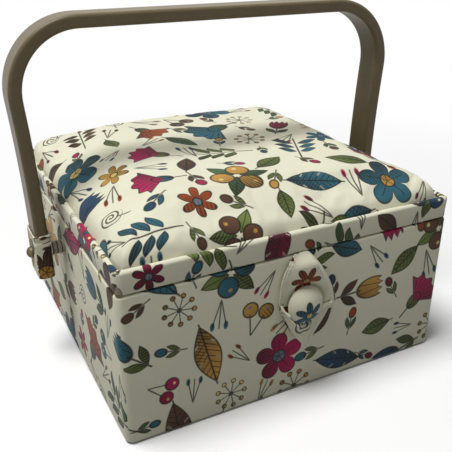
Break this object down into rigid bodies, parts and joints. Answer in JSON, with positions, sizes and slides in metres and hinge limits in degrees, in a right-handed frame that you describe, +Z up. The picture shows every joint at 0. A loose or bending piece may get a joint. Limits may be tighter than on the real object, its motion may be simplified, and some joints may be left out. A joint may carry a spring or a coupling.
{
  "type": "sewing box",
  "caption": "Cloth covered sewing box with a hinged padded lid, a button and tab closure, a lift-out tray and a bow handle that swings on riveted pivots.",
  "frame": {"origin": "middle of the underside on which the box stands", "axes": "+X to the right of the closure side, +Y to the hinge side, +Z up"},
  "size_m": [0.316, 0.2706, 0.2594],
  "materials": {
    "print_cloth": "plain woven cotton with a scattered print",
    "lining_cloth": "plain cream cotton",
    "board": "grey-brown pressed board",
    "underside": "black paper-backed sheet",
    "foam": "soft foam",
    "tray_plastic": "moulded, semi-gloss",
    "handle_plastic": "satin, dark taupe",
    "spacer_plastic": "matt, grey-beige",
    "bronze": "dark bronze, dull",
    "zinc": "plain pressed steel",
    "ribbon": "woven tape",
    "pincushion_cloth": "felted wool"
  },
  "bodies": {
    "box": {"front_board": "board", "back_board": "board", "left_board": "board", "right_board": "board", "bottom_board": "board", "base_cover": "print_cloth", "underside_sheet": "underside", "base_lining": "lining_cloth", "floor_pad": "lining_cloth", "tray_rail_front": "board", "tray_rail_back": "board", "button_cap": "print_cloth", "button_back": "zinc", "button_shank": "zinc", "shank_washer": "zinc", "pivot_rivet_left": "bronze", "pivot_rivet_right": "bronze", "rivet_washer_left": "zinc", "rivet_washer_right": "zinc", "hinge_tape": "print_cloth", "stay_ribbon_left": "ribbon", "stay_ribbon_right": "ribbon"},
    "tray": {"tray": "tray_plastic"},
    "lid": {"lid_board": "board", "lid_rim_front": "board", "lid_rim_back": "board", "lid_rim_left": "board", "lid_rim_right": "board", "lid_rim_cover": "print_cloth", "lid_foam": "foam", "lid_top_cover": "print_cloth", "lid_lining": "lining_cloth", "pincushion": "pincushion_cloth", "lid_pocket": "lining_cloth", "pocket_elastic": "lining_cloth"},
    "loop": {"closure_loop": "print_cloth"},
    "handle": {"handle_bow": "handle_plastic", "handle_sleeve_left": "print_cloth", "handle_sleeve_right": "print_cloth", "pivot_spacer_left": "spacer_plastic", "pivot_spacer_right": "spacer_plastic"}
  },
  "joints": [
    {"name": "lid_hinge", "type": "hinge", "parent": "box", "child": "lid", "pos_m": [0, 0.13, 0.113], "axis": [-1, 0, 0], "range_deg": [0, 94], "deforming": ["hinge_tape", "stay_ribbon_left", "stay_ribbon_right", "closure_loop"]},
    {"name": "loop_flip", "type": "hinge", "parent": "lid", "child": "loop", "pos_m": [0.004, -0.1303, 0.113], "axis": [-1, 0, 0], "range_deg": [0, 110], "deforming": ["closure_loop"]},
    {"name": "tray_lift", "type": "slide", "parent": "box", "child": "tray", "axis": [0, 0, 1], "range_m": [0, 0.02]},
    {"name": "handle_swing", "type": "hinge", "parent": "box", "child": "handle", "pos_m": [0, 0, 0.0905], "axis": [-1, 0, 0], "range_deg": [-116, 116]}
  ],
  "couplings": [
    {"joint": "handle_swing", "follows": "lid_hinge", "ratio": 1.23}
  ]
}
